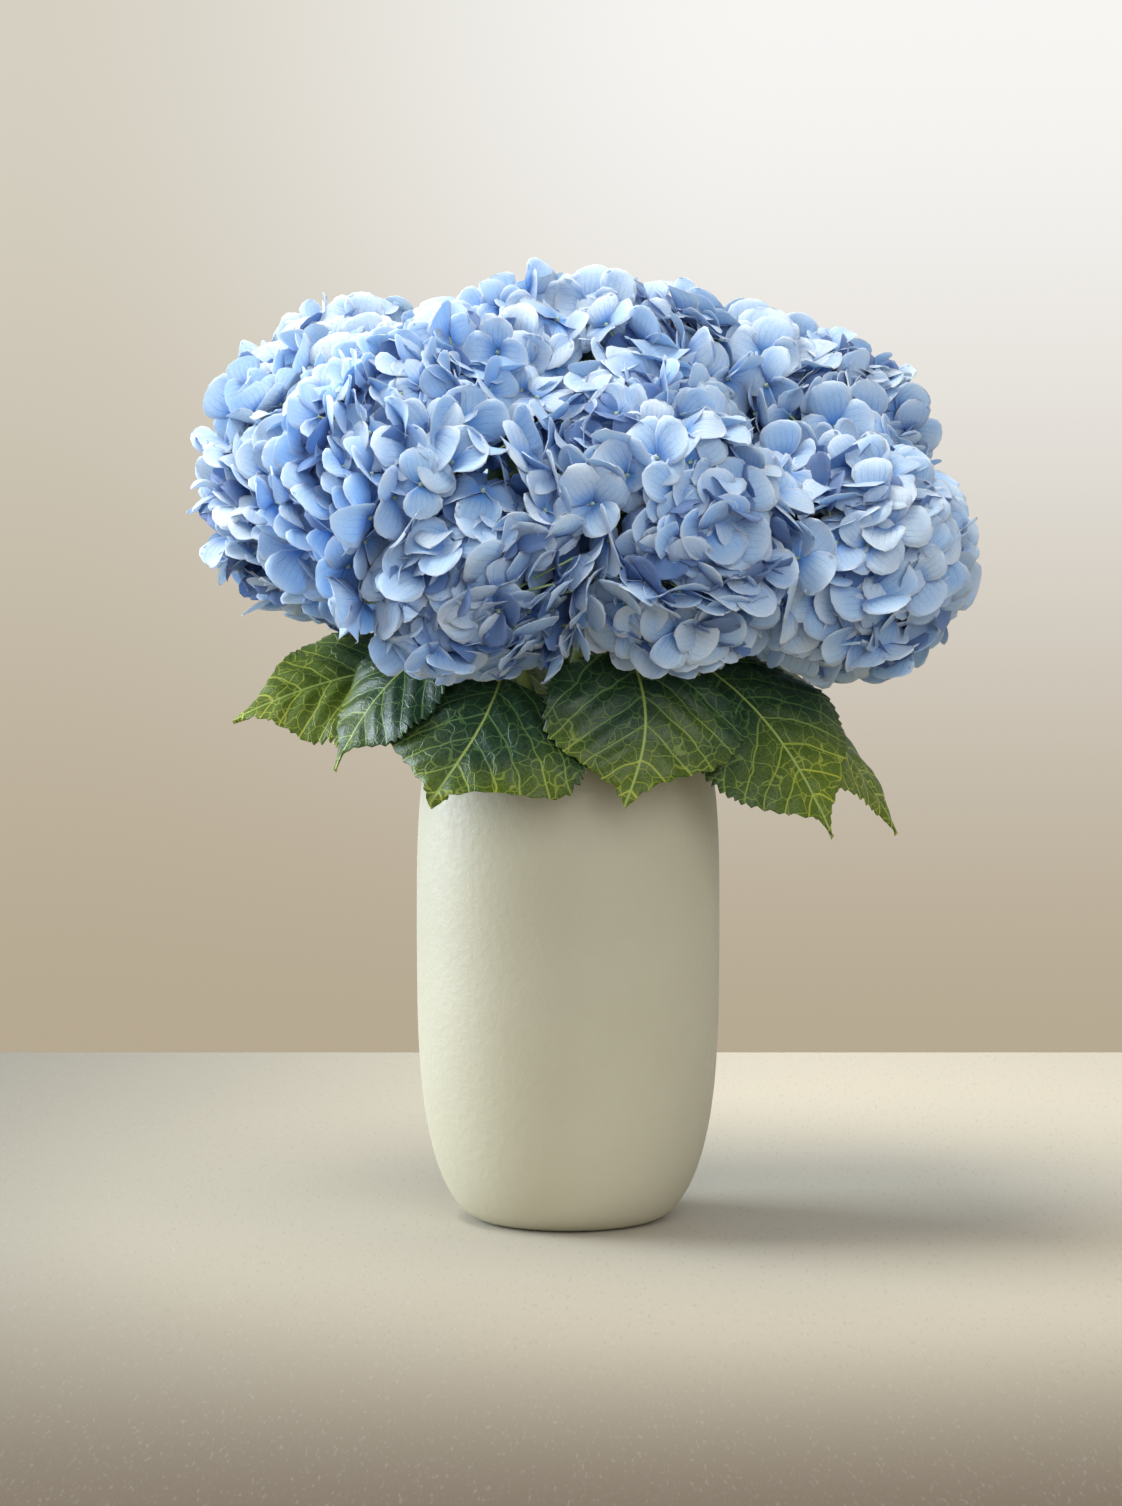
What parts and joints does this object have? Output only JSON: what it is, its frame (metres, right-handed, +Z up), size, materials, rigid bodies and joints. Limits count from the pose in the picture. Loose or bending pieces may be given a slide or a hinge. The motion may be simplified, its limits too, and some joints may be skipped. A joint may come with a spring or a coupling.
{
  "type": "hydrangeas in a vase",
  "caption": "Round-shouldered matte ceramic vase holding a full dome of light blue mophead hydrangeas, with broad toothed green leaves hanging over its rim.",
  "frame": {"origin": "centre of the vase's flat foot", "axes": "+Z up along the vase's axis, -Y towards the front, +X to the right as seen from the front"},
  "size_m": [0.4357, 0.4096, 0.5333],
  "materials": {
    "ceramic": "matte",
    "petals": "matte",
    "stems": "satin",
    "leaves": "satin"
  },
  "bodies": {
    "root": {"vase": "ceramic", "head_left": "petals", "stem_left": "stems", "head_front_left": "petals", "stem_front_left": "stems", "head_low_front": "petals", "stem_low_front": "stems", "head_back_left_top": "petals", "stem_back_left_top": "stems", "head_top_left": "petals", "stem_top_left": "stems", "head_top_right": "petals", "stem_top_right": "stems", "head_top_back": "petals", "stem_top_back": "stems", "head_front": "petals", "stem_front": "stems", "head_low_right": "petals", "stem_low_right": "stems", "head_right": "petals", "stem_right": "stems", "head_right_top": "petals", "stem_right_top": "stems", "head_back_left": "petals", "stem_back_left": "stems", "head_back": "petals", "stem_back": "stems", "head_back_right": "petals", "stem_back_right": "stems", "leaf_left": "leaves", "leaf_front_left": "leaves", "leaf_front": "leaves", "leaf_front_right": "leaves", "leaf_right_front": "leaves", "leaf_right": "leaves", "leaf_right_back": "leaves", "leaf_back_right": "leaves", "leaf_back": "leaves", "leaf_left_back": "leaves"}
  },
  "joints": []
}
